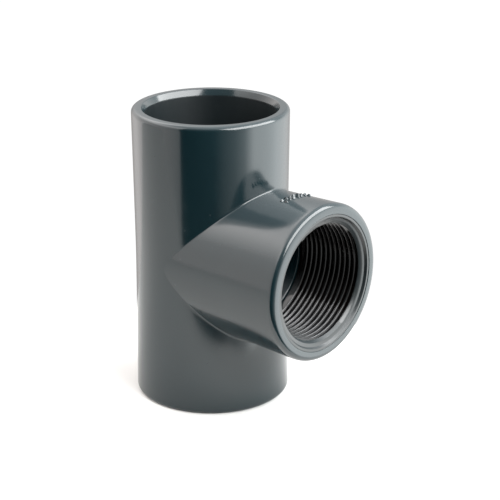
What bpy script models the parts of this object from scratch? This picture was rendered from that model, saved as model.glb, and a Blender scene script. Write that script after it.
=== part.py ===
"""PVC pressure tee: a moulded body with two plain pipe sockets, and a threaded bush bonded into its branch.

Run it with: blender --background --python part.py
Metres, +Z up. The run stands along Z and the branch points along +X. The origin is the centre of the
bounding box's base, so the lower rim rests on Z = 0.
"""

import math

import bmesh
import bpy
from mathutils import Matrix, Vector

# Driving dimensions: a 50 mm socket tee with a 1 1/2 inch parallel pipe thread, 11 threads to the inch.
PIPE_DIAMETER = 0.050
SOCKET_DEPTH = 0.031
STOP_TO_AXIS = 0.026  # from a socket's pipe stop to the axis that crosses it
RIM_DIAMETER = 0.060  # outside, the same at all three rims
THREAD_MAJOR_DIAMETER = 0.047803
THREAD_PITCH = 0.0254 / 11

# The moulding
RUN_WAIST_RADIUS = 0.02944  # outside, at mid-height: both halves of the run taper towards it
BRANCH_ROOT_RADIUS = 0.0293  # outside, from the run to where the branch starts to widen
BRANCH_FLARE_START = 0.030  # from the run's axis
RIM_FILLET = 0.0017
BRANCH_FILLET = 0.0021
SOCKET_CLEARANCE = 0.0001  # radial, between the socket and the pipe at the mouth
SOCKET_DRAFT = 0.0002  # radial, lost from the mouth to the pipe stop
LEAD_IN_WIDTH = 0.0011  # radial width of the chamfer that guides the pipe
LEAD_IN_DEPTH = 0.0024
RUN_PASSAGE_RADIUS = 0.0220
BRANCH_PASSAGE_RADIUS = 0.0215

# The bush
BOND_GAP = 0.0003  # between the bush and its seat
COLLAR_RADIUS = 0.0260
COLLAR_LENGTH = 0.0040
SHANK_RADIUS = 0.0250
BUSH_RECESS = 0.0003  # the bush's face sits this far below the branch's
BUSH_MOUTH_RADIUS = 0.0251  # of the bush's bore at its face, where a steep bevel starts
BUSH_BEVEL_RADIUS = 0.0245  # where the bevel ends and a nearly flat ledge starts
BUSH_BEVEL_DEPTH = 0.0012  # below the branch's face
BUSH_LEDGE_RADIUS = 0.0237  # where the ledge ends and a chamfer leads on to the thread
BUSH_LEDGE_DEPTH = 0.0014  # below the branch's face
THREAD_TOP_DEPTH = 0.0019  # below the branch's face, where the chamfer reaches the thread
THREAD_MARGIN = 0.0003  # plain bore left above the first turn and below the last one
THREAD_FADE_TURNS = 0.3  # the groove runs in and out over this much of a turn
THREAD_DEPTH = 0.640327 * THREAD_PITCH
FLANK_ANGLE = math.radians(27.5)
THREAD_ROOT_WIDTH = 0.00040

# Facets
SEGMENTS = 56
FILLET_STEPS = 3
OVERLAP = 0.004  # how far a cutter runs past the face it opens

# Worked out
CENTRE_TO_FACE = STOP_TO_AXIS + SOCKET_DEPTH
RIM_RADIUS = RIM_DIAMETER / 2
RUN_X = (RIM_RADIUS - CENTRE_TO_FACE) / 2
BRANCH_Z = CENTRE_TO_FACE
SOCKET_RADIUS = PIPE_DIAMETER / 2 + SOCKET_CLEARANCE
THREAD_MAJOR_RADIUS = THREAD_MAJOR_DIAMETER / 2
THREAD_MINOR_RADIUS = THREAD_MAJOR_RADIUS - THREAD_DEPTH
FLANK_WIDTH = THREAD_DEPTH * math.tan(FLANK_ANGLE)

# Both turned shapes are drawn along +Z: ALONG_Z leaves the run upright, ALONG_X lays the branch down.
ALONG_Z = Matrix.Translation((RUN_X, 0, BRANCH_Z))
ALONG_X = ALONG_Z @ Matrix.Rotation(math.radians(90), 4, "Y")

GREY_PVC = (0.084, 0.100, 0.109, 1.0)
TEE_ROUGHNESS = 0.22
BUSH_ROUGHNESS = 0.30


def clear_scene():
    for obj in list(bpy.data.objects):
        bpy.data.objects.remove(obj)


def plastic(name, colour, roughness):
    material = bpy.data.materials.new(name)
    material.use_nodes = True
    shader = material.node_tree.nodes["Principled BSDF"]
    shader.inputs["Base Color"].default_value = colour
    shader.inputs["Roughness"].default_value = roughness
    shader.inputs["Metallic"].default_value = 0.0
    return material


def object_of(name, bm, placing):
    """A named object from a bmesh, smooth where its faces run on."""
    bmesh.ops.remove_doubles(bm, verts=bm.verts, dist=1e-7)
    bmesh.ops.recalc_face_normals(bm, faces=bm.faces)
    mesh = bpy.data.meshes.new(name)
    bm.to_mesh(mesh)
    bm.free()
    mesh.shade_smooth()
    mesh.set_sharp_from_angle(angle=math.radians(30))
    obj = bpy.data.objects.new(name, mesh)
    obj.matrix_world = placing
    bpy.context.scene.collection.objects.link(obj)
    return obj


def turned(name, profile, placing):
    """A closed solid turned about Z from (radius, height) points that start and end on the axis."""
    bm = bmesh.new()
    points = [bm.verts.new((radius, 0, height)) for radius, height in profile]
    edges = [bm.edges.new(pair) for pair in zip(points, points[1:])]
    bmesh.ops.spin(
        bm,
        geom=points + edges,
        cent=(0, 0, 0),
        axis=(0, 0, 1),
        angle=math.tau,
        steps=SEGMENTS,
        use_merge=True,
    )
    return object_of(name, bm, placing)


def helper(obj):
    """Marks an object that only shapes another one."""
    obj.hide_render = True
    obj.display_type = "WIRE"
    return obj


def combine(obj, other, operation):
    modifier = obj.modifiers.new(other.name, "BOOLEAN")
    modifier.operation = operation
    modifier.object = helper(other)
    modifier.solver = "EXACT"


def fillet(radius, height, size, direction):
    """Points round an outside corner at (radius, height), from the wall to a face at +1 top or -1 bottom."""
    centre = Vector((radius - size, height - direction * size))
    angles = [math.radians(90) * step / FILLET_STEPS for step in range(FILLET_STEPS + 1)]
    return [(centre.x + size * math.cos(a), centre.y + direction * size * math.sin(a)) for a in angles]


def run_outline():
    """The run's outside: a slight waist between two rounded rims."""
    top = fillet(RIM_RADIUS, CENTRE_TO_FACE, RIM_FILLET, 1)
    bottom = fillet(RIM_RADIUS, -CENTRE_TO_FACE, RIM_FILLET, -1)
    return [(0, CENTRE_TO_FACE), *reversed(top), (RUN_WAIST_RADIUS, 0), *bottom, (0, -CENTRE_TO_FACE)]


def branch_outline():
    """The branch's outside: straight near the run, then widening a little to its rounded rim."""
    rim = fillet(RIM_RADIUS, CENTRE_TO_FACE, BRANCH_FILLET, 1)
    root = [(BRANCH_ROOT_RADIUS, BRANCH_FLARE_START), (BRANCH_ROOT_RADIUS, 0)]
    return [(0, CENTRE_TO_FACE), *reversed(rim), *root, (0, 0)]


def socket_half(direction):
    """One socket's bore, from the pipe stop out past the rim, for the top (+1) or the bottom (-1)."""
    stop = direction * STOP_TO_AXIS
    face = direction * CENTRE_TO_FACE
    return [
        (RUN_PASSAGE_RADIUS, stop),
        (SOCKET_RADIUS - SOCKET_DRAFT, stop),
        (SOCKET_RADIUS, face - direction * LEAD_IN_DEPTH),
        (SOCKET_RADIUS + LEAD_IN_WIDTH, face),
        (SOCKET_RADIUS + LEAD_IN_WIDTH, face + direction * OVERLAP),
        (0, face + direction * OVERLAP),
    ]


def run_bore():
    """Both sockets and the narrower passage between their pipe stops."""
    return [*reversed(socket_half(1)), *socket_half(-1)]


def bush_seat():
    """The branch's bore: the passage from the run, then the seat that the bush is bonded into."""
    seat_face = CENTRE_TO_FACE + OVERLAP
    collar_stop = CENTRE_TO_FACE - COLLAR_LENGTH - BOND_GAP
    return [
        (0, seat_face),
        (COLLAR_RADIUS + BOND_GAP, seat_face),
        (COLLAR_RADIUS + BOND_GAP, collar_stop),
        (SHANK_RADIUS + BOND_GAP, collar_stop),
        (SHANK_RADIUS + BOND_GAP, STOP_TO_AXIS),
        (BRANCH_PASSAGE_RADIUS, STOP_TO_AXIS),
        (BRANCH_PASSAGE_RADIUS, 0),
        (0, 0),
    ]


def bush_outside():
    """The bush's plain rings, from the bore's inner end round the outside to the chamfer above the thread."""
    inner_end = STOP_TO_AXIS + BOND_GAP
    collar_stop = CENTRE_TO_FACE - COLLAR_LENGTH
    bush_face = CENTRE_TO_FACE - BUSH_RECESS
    return [
        (THREAD_MINOR_RADIUS, inner_end),
        (SHANK_RADIUS, inner_end),
        (SHANK_RADIUS, collar_stop),
        (COLLAR_RADIUS, collar_stop),
        (COLLAR_RADIUS, bush_face),
        (BUSH_MOUTH_RADIUS, bush_face),
        (BUSH_BEVEL_RADIUS, CENTRE_TO_FACE - BUSH_BEVEL_DEPTH),
        (BUSH_LEDGE_RADIUS, CENTRE_TO_FACE - BUSH_LEDGE_DEPTH),
        (THREAD_MINOR_RADIUS, CENTRE_TO_FACE - THREAD_TOP_DEPTH),
    ]


def on_circle(radius, height, step):
    """The point at this step of a turn. Steps run clockwise seen from above, as a right-hand thread sinks."""
    angle = -math.tau * step / SEGMENTS
    return (radius * math.cos(angle), radius * math.sin(angle), height)


def quad_strip(bm, upper, lower):
    """Joins two rows of vertices with quads."""
    for (a, b), (c, d) in zip(zip(upper, upper[1:]), zip(lower, lower[1:])):
        bm.faces.new((a, b, d, c))


def thread_ribbon(bm, start, end):
    """
    The thread between two heights, as one ribbon that winds down the bore, its lower edge the upper edge of
    the turn below. Gives back the crest's edge, and the groove's two flanks and its root, row by row.
    """
    turns = (start - end) / THREAD_PITCH - 1
    steps = int(turns * SEGMENTS)
    fade_steps = THREAD_FADE_TURNS * SEGMENTS
    rows = []
    for offset, is_root in (
        (0, False),
        (FLANK_WIDTH, True),
        (FLANK_WIDTH + THREAD_ROOT_WIDTH, True),
        (2 * FLANK_WIDTH + THREAD_ROOT_WIDTH, False),
    ):
        row = []
        for step in range(steps + 1 + (SEGMENTS if offset == 0 else 0)):
            depth = THREAD_DEPTH * max(0, min(1, step / fade_steps, (steps - step) / fade_steps))
            radius = THREAD_MINOR_RADIUS + (depth if is_root else 0)
            height = start - offset - THREAD_PITCH * step / SEGMENTS
            row.append(bm.verts.new(on_circle(radius, height, step)))
        rows.append(row)
    for upper, lower in zip(rows, rows[1:]):
        quad_strip(bm, upper[: steps + 1], lower)
    quad_strip(bm, rows[-1], rows[0][SEGMENTS:])
    return rows


def bush_mesh():
    """The whole bush as one closed surface: turned rings outside, a helical thread inside."""
    bm = bmesh.new()
    outside = bush_outside()
    rings = [[bm.verts.new(on_circle(*point, step)) for step in range(SEGMENTS)] for point in outside]
    for ring, following in zip(rings, rings[1:]):
        quad_strip(bm, ring + ring[:1], following + following[:1])

    crest, *groove = thread_ribbon(bm, outside[-1][1] - THREAD_MARGIN, outside[0][1] + THREAD_MARGIN)
    last = len(groove[0]) - 1

    # Above the thread: the chamfer's ring meets the first turn, whose blank start steps down by one pitch.
    top = rings[-1]
    quad_strip(bm, top, crest[:SEGMENTS])
    first_blank = [row[0] for row in groove]
    bm.faces.new([top[-1], top[0], crest[0], *first_blank, crest[SEGMENTS], crest[SEGMENTS - 1]])

    # Below it: the last turn's blank end meets the ring at the bore's inner end.
    turn_to_end = last % SEGMENTS
    bottom = rings[0][turn_to_end:] + rings[0][:turn_to_end] + [rings[0][turn_to_end]]
    quad_strip(bm, crest[last + 1 :], bottom[1:])
    last_blank = [row[last] for row in groove]
    bm.faces.new([crest[last], crest[last + 1], bottom[1], bottom[0], crest[-1], *reversed(last_blank)])
    return bm


def tee_body(material):
    body = turned("tee_body", run_outline(), ALONG_Z)
    combine(body, turned("branch_outside", branch_outline(), ALONG_X), "UNION")
    combine(body, turned("run_bore", run_bore(), ALONG_Z), "DIFFERENCE")
    combine(body, turned("bush_seat", bush_seat(), ALONG_X), "DIFFERENCE")
    body.data.materials.append(material)


def threaded_bush(material):
    bush = object_of("threaded_bush", bush_mesh(), ALONG_X)
    bush.data.materials.append(material)


def main():
    clear_scene()
    tee_body(plastic("tee_pvc", GREY_PVC, TEE_ROUGHNESS))
    threaded_bush(plastic("bush_pvc", GREY_PVC, BUSH_ROUGHNESS))


main()
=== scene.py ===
"""The looks of the threaded tee: finely turned meshes for both pieces, glossy grey plastic, a white studio.

Sizes are in metres. The meshes are made about the point where the run's axis (Z) and the branch's axis (X)
cross, and are then placed where the frame has that point.
"""

import math

import bmesh
import bpy
from mathutils import Matrix, Vector


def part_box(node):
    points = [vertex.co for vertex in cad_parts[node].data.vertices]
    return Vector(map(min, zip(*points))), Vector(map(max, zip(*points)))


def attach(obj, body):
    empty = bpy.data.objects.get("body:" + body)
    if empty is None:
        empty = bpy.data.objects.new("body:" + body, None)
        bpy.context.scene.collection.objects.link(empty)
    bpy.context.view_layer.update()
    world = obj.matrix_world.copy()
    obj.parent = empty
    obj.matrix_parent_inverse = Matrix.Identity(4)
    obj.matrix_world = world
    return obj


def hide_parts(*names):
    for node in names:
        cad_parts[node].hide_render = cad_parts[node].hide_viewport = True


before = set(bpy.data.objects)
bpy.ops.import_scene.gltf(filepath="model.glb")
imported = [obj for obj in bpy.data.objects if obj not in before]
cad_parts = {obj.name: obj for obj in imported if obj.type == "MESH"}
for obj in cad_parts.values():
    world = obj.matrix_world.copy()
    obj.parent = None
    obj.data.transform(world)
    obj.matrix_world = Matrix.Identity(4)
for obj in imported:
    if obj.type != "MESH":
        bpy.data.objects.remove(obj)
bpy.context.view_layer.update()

# Sizes that the frame gives
BODY_LOW, BODY_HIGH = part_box("tee_body")
BUSH_LOW, BUSH_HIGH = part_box("threaded_bush")
RIM_RADIUS = (BODY_HIGH.y - BODY_LOW.y) / 2
RUN_HALF = (BODY_HIGH.z - BODY_LOW.z) / 2
CROSSING = Vector((BODY_LOW.x + RIM_RADIUS, 0, BODY_LOW.z + RUN_HALF))
BRANCH_FACE = BODY_HIGH.x - CROSSING.x
BUSH_END = BUSH_LOW.x - CROSSING.x
COLLAR_RADIUS = (BUSH_HIGH.y - BUSH_LOW.y) / 2

# The moulding, as the CAD model has it, with its small edges rounded too
RUN_WAIST_RADIUS = 0.02944
WAIST_SOFTNESS = 0.15  # how far the waist's bend is spread, as a share of the run's half length
BRANCH_ROOT_RADIUS = 0.0293
BRANCH_FLARE_START = 0.030
FLARE_SOFTNESS = 0.004  # how far the bend where the flare starts is spread
RIM_FILLET = 0.0017
BRANCH_FILLET = 0.0021
JUNCTION_FILLET = 0.0008
SOCKET_DEPTH = 0.031
SOCKET_RADIUS = 0.0251
SOCKET_DRAFT = 0.0002
LEAD_IN_WIDTH = 0.0011
LEAD_IN_DEPTH = 0.0024
LEAD_IN_ROUNDING = 0.0003  # at the rim's face
SOCKET_ROUNDING = 0.0015  # where the lead-in runs into the socket
STOP_ROUNDING = 0.0006  # in the corner between the socket and its pipe stop
RUN_PASSAGE_RADIUS = 0.0220
BRANCH_PASSAGE_RADIUS = 0.0215
PASSAGE_ROUNDING = 0.0004
BOND_GAP = 0.0003
SEAM_GAP = 0.0001  # left between the two pieces where the seam shows
SEAM_STEP = 0.0002  # the bush's face sits this far below the branch's
SEAM_ROUNDING = 0.00018

# Where the skins of the crossing tubes end and the profiles of the mouths take over
FILLET_START = 1.2  # fillet radii below a face
RUN_SKIN_END = RUN_HALF - RIM_FILLET * FILLET_START
BRANCH_SKIN_END = BRANCH_FACE - BRANCH_FILLET * FILLET_START
PIPE_STOP = RUN_HALF - SOCKET_DEPTH
PASSAGE_SKIN_END = PIPE_STOP - 2 * PASSAGE_ROUNDING

# The bush, with depths below the branch's face
COLLAR_LENGTH = 0.0040
SHANK_RADIUS = 0.0250
BUSH_MOUTH_RADIUS = 0.0251  # where the mouth's bevel starts
BUSH_BEVEL_RADIUS = 0.0245  # where the bevel ends and a nearly flat ledge starts
BUSH_BEVEL_DEPTH = 0.0012
BUSH_LEDGE_RADIUS = 0.0237  # where the ledge ends and a chamfer leads on to the thread
BUSH_LEDGE_DEPTH = 0.0014
BUSH_ROUNDING = 0.0002

# The thread: 11 turns to the inch, with the depth and rounding of the standard pipe thread's form
THREAD_PITCH = 0.0254 / 11
THREAD_DEPTH = 0.640327 * THREAD_PITCH
THREAD_ROUNDING = 0.137329 * THREAD_PITCH
THREAD_MAJOR_DIAMETER = 0.047803
THREAD_MINOR_RADIUS = THREAD_MAJOR_DIAMETER / 2 - THREAD_DEPTH
THREAD_TOP_DEPTH = 0.0019  # below the branch's face, where the chamfer reaches the thread's crest
THREAD_TOP = BRANCH_FACE - THREAD_TOP_DEPTH
THREAD_RUN_IN = 0.0003  # the groove starts this far up the chamfer
THREAD_MARGIN = 0.0003  # plain bore left below the last turn
THREAD_FADE_TURNS = 0.3  # the groove runs in and out over this much of a turn
THREAD_START_ANGLE = math.radians(122)
FLANK_ANGLE = math.radians(27.5)
GROOVE_START = THREAD_TOP + THREAD_RUN_IN
CHAMFER_SLOPE = (BUSH_LEDGE_RADIUS - THREAD_MINOR_RADIUS) / (THREAD_TOP_DEPTH - BUSH_LEDGE_DEPTH)

# The small raised marks in rows on top of the branch: dots, bars along it and bars round it
MARK_ROWS = ("-|.-|.-", "|.-|-.|")
MARKS_FROM_CROSSING = 0.0396
MARK_ROW_STEP = 0.0020
MARKS_START = math.radians(99)
MARK_STEP = math.radians(4.2)
MARK_LENGTH = 0.0018
MARK_WIDTH = 0.0011
MARK_HEIGHT = 0.0007
DOT_LENGTH = MARK_WIDTH * 1.05
MARK_LEVELS = ((-0.0002, 1), (0.00005, 1), (MARK_HEIGHT, 0.15))  # height, and share of the full width

# Mesh fineness
RIM_SEGMENTS = 192
SIDE_SEGMENTS = 48
BRANCH_SEGMENTS = 2 * (RIM_SEGMENTS + SIDE_SEGMENTS)
RUN_ROWS = 64
BRANCH_ROWS = 24
ARC_STEPS = 8
THREAD_ARC_STEPS = 3
BUSH_SEGMENTS = 240
FILLET_TRIALS = 20  # after which the rolling ball's place has settled
SLOPE_STEP = 2e-6  # for finding a slope by difference
WELD = 2e-6
SHARP_ANGLE = math.radians(35)  # edges that bend by more are shaded as edges
THREAD_TURNS = (GROOVE_START - BUSH_END - THREAD_MARGIN) / THREAD_PITCH - 1
LAST_THREAD_STEP = int(THREAD_TURNS * BUSH_SEGMENTS)

# The plastic and its patterns. A scale is about how many of a pattern's cells go into a metre, and a pair of
# limits says which of a noise's values are taken as none of the pattern and as all of it.
PVC_IOR = 1.54
MOST_NOISE = (0.3, 0.7)
CLOUD_SCALE = 45.0
FLOW_MARK_SCALE = 160.0
FLOW_MARK_SQUEEZE = (1.0, 1.0, 0.16)  # draws the flow marks out along the run
FLOW_MARK_CHANGE = 0.12  # of the roughness, up and down
RUB_SCALE = 210.0
RUB_LIMITS = (0.56, 0.74)
RUB_COVER = 0.18
RUB_ROUGHNESS = 0.035
RUB_COLOUR = (0.020, 0.030, 0.034, 1)
SPECK_SCALE = 420.0
SPECK_SIZES = (0.05, 0.12)  # of its solid middle and of its soft edge, as shares of a cell
SPECK_AREA_SCALE = 330.0
SPECK_AREA_LIMITS = (0.60, 0.66)
SPECK_COVER = 0.35
SPECK_ROUGHNESS = 0.15
SPECK_COLOUR = (0.10, 0.11, 0.11, 1)
FILM_COLOUR = (0.10, 0.12, 0.13, 1)
FILM_COVER = 0.28  # on a level surface
FILM_THINNEST = 0.85  # of that, where a cloud makes it thinner
FILM_FROM = 0.35  # how far up a surface faces where the film starts, with 1 as level

# The plastic's relief, which is orange peel: broad waves, fine grain and specks
WAVE_SCALE = 120.0
GRAIN_SCALE = 950.0
GRAIN_SHARE = 0.15
SPECK_RELIEF = 0.2

# Painted shade in the hollows: the sockets and the thread are darkened towards this near-black colour, which
# stands in for the shade inside them
PAINTED_SHADE_COLOUR = (0.0015, 0.0004, 0.0002, 1)
SOCKET_MASK_EDGE = 0.0001
THREAD_MASK = (0.0018, 0.0010)  # depths below the thread's top where its own look is full and where it starts

# The floor's edges: which way each faces, and how far it is. The floor ends close to the tee on the right, so
# that the plastic there mirrors the dark beyond it.
FLOOR_EDGES = (
    (math.radians(-60), 0.217),
    (math.radians(-30), 0.100),
    (0.0, 0.090),
    (math.radians(120), 0.07),
    (math.radians(195), 1.5),
)
PAPER = (0.71, 0.71, 0.70, 1)
PALER_PAPER = (0.73, 0.73, 0.72, 1)
PAPER_SCALE = 30.0
PAPER_IOR = 1.3

# What shines on the tee from round about. Each band takes over from what is below it between two heights in
# degrees, and is given by stops of (degrees round from the left wall's edge, radiance).
WALL_EDGE = math.radians(-92)
FAR_BELOW = 0.1
NEAR_HORIZON = (
    (0.1, 0.0), (50, 0.1), (80, 0.9), (95, 1.8), (110, 5.0), (155, 4.2),
    (200, 1.0), (225, 0.45), (245, 0.65), (270, 2.3), (290, 2.6), (359.9, 1.4),
)
AT_25_DEGREES = ((0.1, 0.35), (70, 0.35), (95, 1.2), (190, 1.2), (215, 0.5), (245, 2.1), (359.9, 2.1))
AT_45_DEGREES = ((0.1, 0.35), (70, 0.35), (95, 1.2), (190, 1.2), (215, 0.5), (245, 4.6), (359.9, 4.6))
BANDS = ((-38, -28, NEAR_HORIZON), (5, 25, AT_25_DEGREES), (25, 45, AT_45_DEGREES))
OVERHEAD = 1.5
OVERHEAD_HEIGHTS = (45, 65)
BRIGHTEST = 8.0
WARM_LEFT = (1.04, 0.99, 0.97, 1)
COOL_RIGHT = (0.97, 1.0, 1.0, 1)
LEFT_TO_RIGHT = (-0.4, 0.4)  # how far along X a direction points, where the tint changes
CAMERA_WHITE = 1.05

SOFTBOX_AZIMUTH = math.radians(20)
SOFTBOX_ELEVATION = math.radians(42)
SOFTBOX_DISTANCE = 0.55
SOFTBOX_WIDTH = 0.78
SOFTBOX_HEIGHT = 0.36
SOFTBOX_POWER = 9.8

# The camera: where it looks from, how far it stands from the crossing, and how it is moved across its view
CAMERA_AZIMUTH = math.radians(-48.51)
CAMERA_ELEVATION = math.radians(20.17)
CAMERA_DISTANCE = 0.6149
CAMERA_RIGHT = 0.01487
CAMERA_UP = -0.00068
CAMERA_LENS = 113.8  # in millimetres, as the sensor is
SENSOR = 36.0
NEAREST_SEEN, FARTHEST_SEEN = 0.01, 20


# ---------------------------------------------------------------------------------------------- meshes


class Skin:
    """Patches of faces whose meeting edges are welded into one closed mesh."""

    def __init__(self):
        self.points = []
        self.faces = []

    def patch(self, rows, closed=True):
        """Quads between rows of points of one length, each row closed into a ring or left open."""
        start = len(self.points)
        width = len(rows[0])
        for row in rows:
            self.points.extend(row)
        for r in range(len(rows) - 1):
            for c in range(width if closed else width - 1):
                a = start + r * width + c
                b = start + r * width + (c + 1) % width
                self.faces.append((a, b, b + width, a + width))

    def polygon(self, points):
        start = len(self.points)
        self.points.extend(points)
        self.faces.append(tuple(range(start, start + len(points))))

    def to_object(self, name, material):
        mesh = bpy.data.meshes.new(name)
        mesh.from_pydata([tuple(point) for point in self.points], [], self.faces)
        bm = bmesh.new()
        bm.from_mesh(mesh)
        bmesh.ops.remove_doubles(bm, verts=bm.verts, dist=WELD)
        bmesh.ops.recalc_face_normals(bm, faces=bm.faces)
        bm.to_mesh(mesh)
        bm.free()
        mesh.transform(Matrix.Translation(CROSSING))
        mesh.shade_smooth()
        mesh.set_sharp_from_angle(angle=SHARP_ANGLE)
        mesh.materials.append(material)
        obj = bpy.data.objects.new(name, mesh)
        bpy.context.scene.collection.objects.link(obj)
        return obj


def rounded(corners):
    """A profile through (radius, height, rounding) corners, with each corner turned into an arc."""
    points = []
    for i, (radius, height, rounding) in enumerate(corners):
        here = Vector((radius, height))
        if rounding == 0:
            points.append(here)
            continue
        back = (Vector(corners[i - 1][:2]) - here).normalized()
        on = (Vector(corners[i + 1][:2]) - here).normalized()
        half = back.angle(on) / 2
        centre = here + (back + on).normalized() * rounding / math.sin(half)
        first = here + back * rounding / math.tan(half) - centre
        last = here + on * rounding / math.tan(half) - centre
        for step in range(ARC_STEPS + 1):
            points.append(centre + first.slerp(last, step / ARC_STEPS).normalized() * rounding)
    return points


def run_ring(radius, z):
    """A ring about the run's axis. It starts at the back, where the run's skin has its seam."""
    ring = []
    for step in range(RIM_SEGMENTS):
        angle = math.pi - math.tau * step / RIM_SEGMENTS
        ring.append(Vector((radius * math.cos(angle), radius * math.sin(angle), z)))
    return ring


def branch_point(radius, x, angle):
    """A point about the branch's axis. Angles start at the +Y side and go up over the top."""
    return Vector((x, radius * math.cos(angle), radius * math.sin(angle)))


def branch_ring(radius, x):
    return [branch_point(radius, x, math.tau * step / BRANCH_SEGMENTS) for step in range(BRANCH_SEGMENTS)]


# The moulding


def skin_edge(end_z):
    """
    The edge of the run's skin when it is cut open along its back, as (angle, height) for each step round the
    branch: up one side of the cut, along the top, down the other side, along the bottom and up again.
    """
    half_side = SIDE_SEGMENTS // 2
    sides = (half_side, RIM_SEGMENTS, SIDE_SEGMENTS, RIM_SEGMENTS, half_side)
    ends = ((math.pi, 0), (math.pi, end_z), (-math.pi, end_z), (-math.pi, -end_z), (math.pi, -end_z))
    edge = []
    for i, steps in enumerate(sides):
        a = Vector(ends[i])
        b = Vector(ends[(i + 1) % len(ends)])
        edge.extend(a.lerp(b, step / steps) for step in range(steps))
    return edge


def junction(run_radius, branch_radius, fillet, end_x):
    """
    The rounded edge where two tubes meet, as a column of points from the run to the branch for each step
    round the branch. A ball of radius fillet rolls along the edge, and its place is found by trial.
    """
    columns = []
    for step in range(BRANCH_SEGMENTS):
        across = branch_point(1, 0, math.tau * step / BRANCH_SEGMENTS)
        x = end_x / 2
        for _ in range(FILLET_TRIALS):
            slope = (branch_radius(x + SLOPE_STEP) - branch_radius(x - SLOPE_STEP)) / (2 * SLOPE_STEP)
            centre = across * (branch_radius(x) + fillet * math.hypot(1, slope))
            x = math.sqrt((run_radius(centre.z) + fillet) ** 2 - centre.y**2)
        centre.x = x
        to_run = -Vector((centre.x, centre.y, 0)).normalized()
        to_branch = -Vector((-slope, across.y, across.z)).normalized()
        turns = [to_run.slerp(to_branch, row / ARC_STEPS) for row in range(ARC_STEPS + 1)]
        columns.append([centre + fillet * turn for turn in turns])
    return columns


def run_skin(columns, run_radius, end_z):
    """Rows of points on the run, from the junction out to the edge of the run's skin."""
    rows = [[] for _ in range(RUN_ROWS + 1)]
    for column, (edge_angle, edge_z) in zip(columns, skin_edge(end_z)):
        start = column[0]
        start_angle = math.atan2(start.y, start.x)
        for i, row in enumerate(rows):
            share = i / RUN_ROWS
            angle = start_angle + (edge_angle - start_angle) * share
            z = start.z + (edge_z - start.z) * share
            radius = run_radius(z) if i else math.hypot(start.x, start.y)
            row.append(Vector((radius * math.cos(angle), radius * math.sin(angle), z)))
    return rows


def branch_skin(columns, branch_radius, end_x):
    """Rows of points on the branch, from the junction out to end_x."""
    rows = [[] for _ in range(BRANCH_ROWS + 1)]
    for column in columns:
        start = column[-1]
        angle = math.atan2(start.z, start.y)
        for i, row in enumerate(rows):
            x = start.x + (end_x - start.x) * i / BRANCH_ROWS
            radius = branch_radius(x) if i else math.hypot(start.y, start.z)
            row.append(branch_point(radius, x, angle))
    return rows


def crossing_tubes(skin, run_radius, branch_radius, fillet, end_z, end_x):
    """The skin of two crossing tubes: the run from height -end_z to end_z, and the branch out to end_x."""
    columns = junction(run_radius, branch_radius, fillet, end_x)
    skin.patch([list(row) for row in zip(*columns)])
    skin.patch(run_skin(columns, run_radius, end_z))
    skin.patch(branch_skin(columns, branch_radius, end_x))


def run_outside(z):
    """The run's outside radius: least at mid-height, then widening to the rims."""
    bend = math.hypot(z / RUN_SKIN_END, WAIST_SOFTNESS) - WAIST_SOFTNESS
    most = math.hypot(1, WAIST_SOFTNESS) - WAIST_SOFTNESS
    return RUN_WAIST_RADIUS + (RIM_RADIUS - RUN_WAIST_RADIUS) * bend / most


def branch_outside(x):
    """The branch's outside radius: straight near the run, then widening to the rim."""

    def widening(along):
        past = along - BRANCH_FLARE_START
        return past + math.hypot(past, FLARE_SOFTNESS)

    share = widening(x) / widening(BRANCH_SKIN_END)
    return BRANCH_ROOT_RADIUS + (RIM_RADIUS - BRANCH_ROOT_RADIUS) * share


def tee_moulding(material):
    """The moulding: outer and inner skins of crossing tubes, joined by the profiles of the three mouths."""
    skin = Skin()
    crossing_tubes(skin, run_outside, branch_outside, JUNCTION_FILLET, RUN_SKIN_END, BRANCH_SKIN_END)
    crossing_tubes(
        skin,
        run_radius=lambda z: RUN_PASSAGE_RADIUS,
        branch_radius=lambda x: BRANCH_PASSAGE_RADIUS,
        fillet=PASSAGE_ROUNDING,
        end_z=PASSAGE_SKIN_END,
        end_x=PASSAGE_SKIN_END,
    )
    socket = rounded([
        (RIM_RADIUS, RUN_SKIN_END, 0),
        (RIM_RADIUS, RUN_HALF, RIM_FILLET),
        (SOCKET_RADIUS + LEAD_IN_WIDTH, RUN_HALF, LEAD_IN_ROUNDING),
        (SOCKET_RADIUS, RUN_HALF - LEAD_IN_DEPTH, SOCKET_ROUNDING),
        (SOCKET_RADIUS - SOCKET_DRAFT, PIPE_STOP, STOP_ROUNDING),
        (RUN_PASSAGE_RADIUS, PIPE_STOP, PASSAGE_ROUNDING),
        (RUN_PASSAGE_RADIUS, PASSAGE_SKIN_END, 0),
    ])
    for side in (1, -1):
        skin.patch([run_ring(radius, side * height) for radius, height in socket])
    collar_stop = BRANCH_FACE - COLLAR_LENGTH - BOND_GAP
    seat = rounded([
        (RIM_RADIUS, BRANCH_SKIN_END, 0),
        (RIM_RADIUS, BRANCH_FACE, BRANCH_FILLET),
        (COLLAR_RADIUS + SEAM_GAP, BRANCH_FACE, SEAM_ROUNDING),
        (COLLAR_RADIUS + SEAM_GAP, collar_stop, 0),
        (SHANK_RADIUS + BOND_GAP, collar_stop, 0),
        (SHANK_RADIUS + BOND_GAP, PIPE_STOP, 0),
        (BRANCH_PASSAGE_RADIUS, PIPE_STOP, PASSAGE_ROUNDING),
        (BRANCH_PASSAGE_RADIUS, PASSAGE_SKIN_END, 0),
    ])
    skin.patch([branch_ring(radius, height) for radius, height in seat])
    return skin.to_object("tee_moulding", material)


# The bush


def bush_point(radius, x, step):
    """A point of the bush. Steps run clockwise seen from the mouth, as a right-hand thread sinks."""
    return branch_point(radius, x, THREAD_START_ANGLE - math.tau * step / BUSH_SEGMENTS)


def bush_ring(radius, x, first_step):
    return [bush_point(radius, x, first_step + step) for step in range(BUSH_SEGMENTS)]


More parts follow.
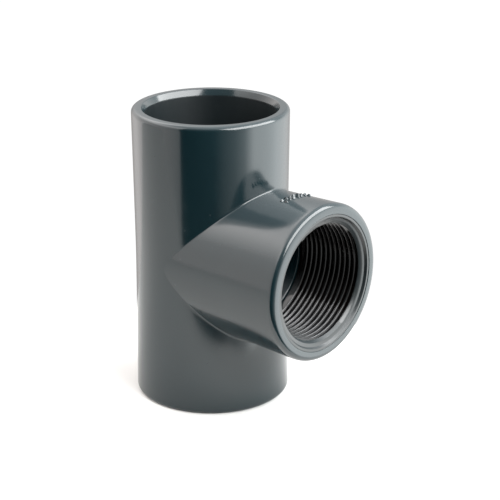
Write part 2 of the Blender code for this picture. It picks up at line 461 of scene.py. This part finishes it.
def thread_section():
    """One pitch of the thread from crest to crest, as (distance deeper, depth into the wall)."""
    reach = math.radians(90) - FLANK_ANGLE
    turns = [reach * step / THREAD_ARC_STEPS for step in range(THREAD_ARC_STEPS + 1)]
    arc = [(THREAD_ROUNDING * math.sin(a), THREAD_ROUNDING * (1 - math.cos(a))) for a in turns]
    middle = THREAD_PITCH / 2
    falling = [(middle - along, THREAD_DEPTH - depth) for along, depth in reversed(arc)]
    rising = [(middle + along, THREAD_DEPTH - depth) for along, depth in arc[1:]]
    return arc + falling + rising + [(THREAD_PITCH - along, depth) for along, depth in reversed(arc)]


def wound(along, depth, step):
    """A point of the thread's section after so many steps of winding, kept outside the chamfer's cone."""
    fade_steps = THREAD_FADE_TURNS * BUSH_SEGMENTS
    fade = max(0, min(1, step / fade_steps, (LAST_THREAD_STEP - step) / fade_steps))
    fade = fade * fade * (3 - 2 * fade)
    x = GROOVE_START - along - THREAD_PITCH * step / BUSH_SEGMENTS
    chamfer = THREAD_MINOR_RADIUS + CHAMFER_SLOPE * (x - THREAD_TOP)
    return bush_point(max(THREAD_MINOR_RADIUS + depth * fade, chamfer), x, step)


def bush_with_thread(material):
    """The bush: its turned outside and mouth, and a thread wound down its bore as one ribbon."""
    skin = Skin()
    collar_stop = BRANCH_FACE - COLLAR_LENGTH
    profile = rounded([
        (THREAD_MINOR_RADIUS, BUSH_END, 0),
        (SHANK_RADIUS, BUSH_END, 0),
        (SHANK_RADIUS, collar_stop, 0),
        (COLLAR_RADIUS, collar_stop, 0),
        (COLLAR_RADIUS, BRANCH_FACE - SEAM_STEP, 0),
        (BUSH_MOUTH_RADIUS, BRANCH_FACE - SEAM_STEP, BUSH_ROUNDING),
        (BUSH_BEVEL_RADIUS, BRANCH_FACE - BUSH_BEVEL_DEPTH, BUSH_ROUNDING),
        (BUSH_LEDGE_RADIUS, BRANCH_FACE - BUSH_LEDGE_DEPTH, BUSH_ROUNDING),
        (THREAD_MINOR_RADIUS + THREAD_RUN_IN * CHAMFER_SLOPE, GROOVE_START, 0),
    ])
    skin.patch([bush_ring(radius, x, 0) for radius, x in profile])

    last = LAST_THREAD_STEP
    section = thread_section()
    skin.patch([[wound(*point, step) for step in range(last + 1)] for point in section], closed=False)

    # The bore between the profile's ends and the ribbon's. Where the ribbon starts and stops, its section
    # lies flat on the bore, and a polygon joins it to the sliver beside it.
    crest = [wound(0, 0, step) for step in range(last + BUSH_SEGMENTS + 1)]
    top = bush_ring(*profile[-1], 0)
    skin.patch([top, crest[:BUSH_SEGMENTS]], closed=False)
    first_blank = [wound(*point, 0) for point in section]
    skin.polygon([top[-1], top[0], *first_blank, crest[BUSH_SEGMENTS - 1]])

    bottom = bush_ring(*profile[0], last)
    skin.patch([crest[last + 1 :], bottom[1:] + bottom[:1]], closed=False)
    last_blank = [wound(*point, last) for point in section]
    skin.polygon([crest[last + 1], bottom[1], bottom[0], *reversed(last_blank)])
    return skin.to_object("bush_with_thread", material)


# The marks


def raised_mark(skin, x, angle, length, lean):
    """A round-ended ridge on the branch, a little sunk into it. It runs along X, or is turned by lean."""
    outline = []
    for side in (1, -1):
        for step in range(ARC_STEPS + 1):
            turn = math.pi * (step / ARC_STEPS - 0.5)
            along = (length - MARK_WIDTH) / 2 + math.cos(turn) * MARK_WIDTH / 2
            across = math.sin(turn) * MARK_WIDTH / 2
            outline.append((side * along, side * across))
    levels = []
    for height, share in MARK_LEVELS:
        shortened = 1 - (1 - share) * MARK_WIDTH / length
        level = []
        for full_along, full_across in outline:
            along, across = full_along * shortened, full_across * share
            x_here = x + along * math.cos(lean) - across * math.sin(lean)
            turn = (along * math.sin(lean) + across * math.cos(lean)) / RIM_RADIUS
            level.append(branch_point(branch_outside(x_here) + height, x_here, angle + turn))
        levels.append(level)
    skin.patch(levels)
    skin.polygon(levels[0])
    skin.polygon(levels[-1])


def moulded_marks(material):
    """Rows of dots and short bars, which say nothing, on top of the branch."""
    skin = Skin()
    for row, kinds in enumerate(MARK_ROWS):
        x = MARKS_FROM_CROSSING + row * MARK_ROW_STEP
        for column, kind in enumerate(kinds):
            length = DOT_LENGTH if kind == "." else MARK_LENGTH
            lean = math.radians(90) if kind == "-" else 0.0
            raised_mark(skin, x, MARKS_START - column * MARK_STEP, length, lean)
    return skin.to_object("moulded_marks", material)


# ------------------------------------------------------------------------------------------- materials


class Nodes:
    """Adds nodes to a tree, with each input either set to a value or linked to a socket."""

    def __init__(self, tree):
        self.tree = tree
        tree.nodes.clear()

    def add(self, kind, inputs=None, **settings):
        node = self.tree.nodes.new(kind)
        for name, value in settings.items():
            setattr(node, name, value)
        for name, value in (inputs or {}).items():
            if isinstance(value, bpy.types.NodeSocket):
                self.tree.links.new(value, node.inputs[name])
            else:
                node.inputs[name].default_value = value
        return node

    def maths(self, operation, *values):
        return self.add("ShaderNodeMath", dict(enumerate(values)), operation=operation).outputs[0]

    def plus(self, value, factor, amount):
        """value + factor * amount"""
        return self.maths("ADD", value, self.maths("MULTIPLY", factor, amount))

    def map_range(self, value, low, high, to_low, to_high, smooth=False):
        node = self.add("ShaderNodeMapRange", {0: value, 1: low, 2: high, 3: to_low, 4: to_high})
        node.interpolation_type = "SMOOTHSTEP" if smooth else "LINEAR"
        return node.outputs[0]

    def noise(self, where, scale, detail, roughness=0.5):
        node = self.add(
            "ShaderNodeTexNoise", {"Vector": where, "Scale": scale, "Detail": detail, "Roughness": roughness}
        )
        return node.outputs["Fac"]

    def patches(self, noise, limits):
        """0 where the noise is under the first limit and 1 where it is over the second, with soft edges."""
        return self.map_range(noise, *limits, 0.0, 1.0, smooth=True)

    def mix(self, factor, a, b, blend="MIX"):
        node = self.add("ShaderNodeMix", {0: factor, 6: a, 7: b}, data_type="RGBA", blend_type=blend)
        return node.outputs[2]

    def tinted(self, colour, factor, amount, with_colour):
        """The colour, mixed with another by factor * amount."""
        return self.mix(self.maths("MULTIPLY", factor, amount), colour, with_colour)

    def ramp(self, value, stops):
        node = self.add("ShaderNodeValToRGB", {0: value})
        elements = node.color_ramp.elements
        while len(elements) < len(stops):
            elements.new(1.0)
        for element, (position, level) in zip(elements, stops):
            element.position = position
            element.color = (level, level, level, 1)
        return node.outputs["Color"]


# Where the sockets' painted shade and their rougher surface go
def in_sockets(nodes, where):
    """1 within a socket's radius of the run's axis, 0 further out."""
    axes = nodes.add("ShaderNodeSeparateXYZ", {0: where}).outputs
    off_axis = nodes.maths("SUBTRACT", axes["X"], CROSSING.x)
    squares = nodes.maths("ADD", nodes.maths("POWER", off_axis, 2.0), nodes.maths("POWER", axes["Y"], 2.0))
    edge = SOCKET_RADIUS + SOCKET_MASK_EDGE
    return nodes.map_range(nodes.maths("SQRT", squares), SOCKET_RADIUS, edge, 1.0, 0.0)


# Where the thread's painted shade and its smoother surface go
def in_thread(nodes, where):
    """1 down in the bush's thread, 0 on its turned face and chamfers."""
    along = nodes.add("ShaderNodeSeparateXYZ", {0: where}).outputs["X"]
    full, start = [CROSSING.x + THREAD_TOP - depth for depth in THREAD_MASK]
    return nodes.map_range(along, full, start, 1.0, 0.0)


def pvc(name, colour, faded, roughness, peel, hollow, hollow_roughness, painted_shade_share):
    """
    Moulded pressure-pipe PVC: glossy, with a slight orange peel, flow marks, faint rubs, specks and a film of
    dust on top. In its hollow it is rougher by hollow_roughness, or smoother if that is negative, and painted
    shade darkens it there by a given share towards a near-black colour, standing in for the shade inside.
    """
    material = bpy.data.materials.new(name)
    material.use_nodes = True
    nodes = Nodes(material.node_tree)
    coordinates = nodes.add("ShaderNodeTexCoord").outputs
    where = coordinates["Object"]
    cloud = nodes.noise(where, CLOUD_SCALE, detail=4.0)
    flow = nodes.add("ShaderNodeMapping", {"Vector": where, "Scale": FLOW_MARK_SQUEEZE}).outputs["Vector"]
    streaks = nodes.noise(flow, FLOW_MARK_SCALE, detail=5.0, roughness=0.6)
    rubs = nodes.patches(nodes.noise(where, RUB_SCALE, detail=6.0, roughness=0.7), RUB_LIMITS)
    cells = nodes.add("ShaderNodeTexVoronoi", {"Vector": where, "Scale": SPECK_SCALE}).outputs["Distance"]
    every_cell = nodes.map_range(cells, *SPECK_SIZES, 1.0, 0.0, smooth=True)
    some_areas = nodes.patches(nodes.noise(where, SPECK_AREA_SCALE, detail=1.0), SPECK_AREA_LIMITS)
    specks = nodes.maths("MULTIPLY", every_cell, some_areas)
    painted_shade_and_roughness_mask = hollow(nodes, where)
    upward = nodes.add("ShaderNodeSeparateXYZ", {0: coordinates["Normal"]}).outputs["Z"]
    film = nodes.map_range(upward, FILM_FROM, 1.0, 0.0, FILM_COVER)
    film_left = nodes.map_range(cloud, *MOST_NOISE, FILM_THINNEST, 1.0)

    tint = nodes.mix(nodes.map_range(cloud, *MOST_NOISE, 0.0, 1.0), colour, faded)
    tint = nodes.tinted(tint, rubs, RUB_COVER, RUB_COLOUR)
    tint = nodes.tinted(tint, specks, SPECK_COVER, SPECK_COLOUR)
    # Painted shade: the hollow is darkened towards a near-black colour that stands in for the shade inside it
    tint = nodes.tinted(tint, painted_shade_and_roughness_mask, painted_shade_share, PAINTED_SHADE_COLOUR)
    tint = nodes.tinted(tint, film, film_left, FILM_COLOUR)

    smoothest, roughest = roughness * (1 - FLOW_MARK_CHANGE), roughness * (1 + FLOW_MARK_CHANGE)
    rough = nodes.map_range(streaks, *MOST_NOISE, smoothest, roughest)
    rough = nodes.plus(rough, rubs, RUB_ROUGHNESS)
    rough = nodes.plus(rough, specks, SPECK_ROUGHNESS)
    rough = nodes.plus(rough, painted_shade_and_roughness_mask, hollow_roughness)

    grain = nodes.maths("MULTIPLY", nodes.noise(where, GRAIN_SCALE, detail=2.0), GRAIN_SHARE)
    relief = nodes.plus(grain, nodes.noise(where, WAVE_SCALE, detail=2.0), 1 - GRAIN_SHARE)
    relief = nodes.plus(relief, specks, SPECK_RELIEF)
    bump = nodes.add("ShaderNodeBump", {"Strength": 1.0, "Distance": peel, "Height": relief}).outputs[0]

    shader = nodes.add(
        "ShaderNodeBsdfPrincipled",
        {"Base Color": tint, "Roughness": rough, "Normal": bump, "Metallic": 0.0, "IOR": PVC_IOR},
    )
    nodes.add("ShaderNodeOutputMaterial", {"Surface": shader.outputs[0]})
    return material


def floor_material():
    material = bpy.data.materials.new("studio_floor")
    material.use_nodes = True
    nodes = Nodes(material.node_tree)
    where = nodes.add("ShaderNodeTexCoord").outputs["Object"]
    paper = nodes.mix(nodes.noise(where, PAPER_SCALE, detail=3.0), PAPER, PALER_PAPER)
    shader = nodes.add("ShaderNodeBsdfPrincipled", {"Base Color": paper, "Roughness": 0.9, "IOR": PAPER_IOR})
    nodes.add("ShaderNodeOutputMaterial", {"Surface": shader.outputs[0]})
    return material


# ---------------------------------------------------------------------------------------------- studio


def direction(azimuth, elevation):
    return Vector((
        math.cos(elevation) * math.cos(azimuth), math.cos(elevation) * math.sin(azimuth), math.sin(elevation)
    ))


def grey(radiance):
    """The colour that gives this radiance at a strength of BRIGHTEST."""
    return (radiance / BRIGHTEST, radiance / BRIGHTEST, radiance / BRIGHTEST, 1)


def studio_world():
    """White for the camera. For all else, a bright wall on the left, a dark front, and light beside it."""
    world = bpy.data.worlds.new("studio")
    world.use_nodes = True
    nodes = Nodes(world.node_tree)
    towards = nodes.add("ShaderNodeTexCoord").outputs["Generated"]
    axes = nodes.add("ShaderNodeSeparateXYZ", {0: towards}).outputs
    azimuth = nodes.maths("ARCTAN2", axes["Y"], axes["X"])
    turn = nodes.maths("DIVIDE", nodes.maths("SUBTRACT", azimuth, WALL_EDGE), math.tau)
    turn = nodes.maths("FRACT", nodes.maths("ADD", turn, 1.0))
    height = nodes.maths("MULTIPLY", nodes.maths("ARCSINE", axes["Z"]), math.degrees(1))

    seen = grey(FAR_BELOW)
    for low, high, stops in BANDS:
        band = nodes.ramp(turn, [(degrees / 360, level / BRIGHTEST) for degrees, level in stops])
        seen = nodes.mix(nodes.map_range(height, low, high, 0.0, 1.0), seen, band)
    seen = nodes.mix(nodes.map_range(height, *OVERHEAD_HEIGHTS, 0.0, 1.0), seen, grey(OVERHEAD))
    warmth = nodes.mix(nodes.map_range(axes["X"], *LEFT_TO_RIGHT, 0.0, 1.0), WARM_LEFT, COOL_RIGHT)
    seen = nodes.mix(1.0, seen, warmth, "MULTIPLY")

    lit = nodes.add("ShaderNodeBackground", {"Color": seen, "Strength": BRIGHTEST}).outputs[0]
    white = nodes.add("ShaderNodeBackground", {"Color": (1, 1, 1, 1), "Strength": CAMERA_WHITE}).outputs[0]
    to_camera = nodes.add("ShaderNodeLightPath").outputs["Is Camera Ray"]
    both = nodes.add("ShaderNodeMixShader", {0: to_camera, 1: lit, 2: white}).outputs[0]
    nodes.add("ShaderNodeOutputWorld", {"Surface": both})
    bpy.context.scene.world = world


def where_edges_meet(first, second):
    """The floor's corner between two of its edges, each given by where it faces and how far it is."""
    spread = math.sin(second[0] - first[0])
    x = (first[1] * math.sin(second[0]) - second[1] * math.sin(first[0])) / spread
    y = (second[1] * math.cos(first[0]) - first[1] * math.cos(second[0])) / spread
    return Vector((CROSSING.x + x, CROSSING.y + y, BODY_LOW.z))


def studio_floor():
    corners = [where_edges_meet(a, b) for a, b in zip(FLOOR_EDGES, FLOOR_EDGES[1:] + FLOOR_EDGES[:1])]
    mesh = bpy.data.meshes.new("floor")
    mesh.from_pydata([tuple(corner) for corner in corners], [], [tuple(range(len(corners)))])
    mesh.materials.append(floor_material())
    floor = bpy.data.objects.new("floor", mesh)
    bpy.context.scene.collection.objects.link(floor)


def softbox():
    light = bpy.data.lights.new("softbox", "AREA")
    light.shape = "RECTANGLE"
    light.size = SOFTBOX_WIDTH
    light.size_y = SOFTBOX_HEIGHT
    light.energy = SOFTBOX_POWER
    lamp = bpy.data.objects.new("softbox", light)
    back = direction(SOFTBOX_AZIMUTH, SOFTBOX_ELEVATION)
    lamp.location = CROSSING + back * SOFTBOX_DISTANCE
    lamp.rotation_euler = back.to_track_quat("Z", "Y").to_euler()
    bpy.context.scene.collection.objects.link(lamp)


def camera():
    data = bpy.data.cameras.new("camera")
    data.lens = CAMERA_LENS
    data.sensor_width = SENSOR
    data.clip_start = NEAREST_SEEN
    data.clip_end = FARTHEST_SEEN
    obj = bpy.data.objects.new("camera", data)
    back = direction(CAMERA_AZIMUTH, CAMERA_ELEVATION)
    right = Vector((0, 0, 1)).cross(back).normalized()
    up = back.cross(right)
    turned = Matrix((right, up, back)).transposed().to_4x4()
    where = CROSSING + back * CAMERA_DISTANCE + right * CAMERA_RIGHT + up * CAMERA_UP
    obj.matrix_world = Matrix.Translation(where) @ turned
    bpy.context.scene.collection.objects.link(obj)
    bpy.context.scene.camera = obj


# ---------------------------------------------------------------------------------------------- pieces

tee_finish = pvc(
    "tee_pvc_finish",
    colour=(0.0026, 0.0105, 0.0135, 1),
    faded=(0.0034, 0.0125, 0.0155, 1),
    roughness=0.15,
    peel=6e-6,
    hollow=in_sockets,
    hollow_roughness=0.28,
    # painted shade inside the sockets: how far they are darkened towards near-black
    painted_shade_share=0.55,
)
bush_finish = pvc(
    "bush_pvc_finish",
    colour=(0.0030, 0.0055, 0.0065, 1),
    faded=(0.0040, 0.0075, 0.0085, 1),
    roughness=0.30,
    peel=4e-6,
    hollow=in_thread,
    hollow_roughness=-0.19,
    # painted shade down the thread: how far it is darkened towards near-black
    painted_shade_share=0.9,
)

moulding = tee_moulding(tee_finish)
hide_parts("tee_body")
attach(moulding, "root")

bush = bush_with_thread(bush_finish)
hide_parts("threaded_bush")
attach(bush, "root")

marks = moulded_marks(tee_finish)
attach(marks, "root")

studio_world()
studio_floor()
softbox()
camera()
bpy.context.scene.view_settings.view_transform = "Standard"
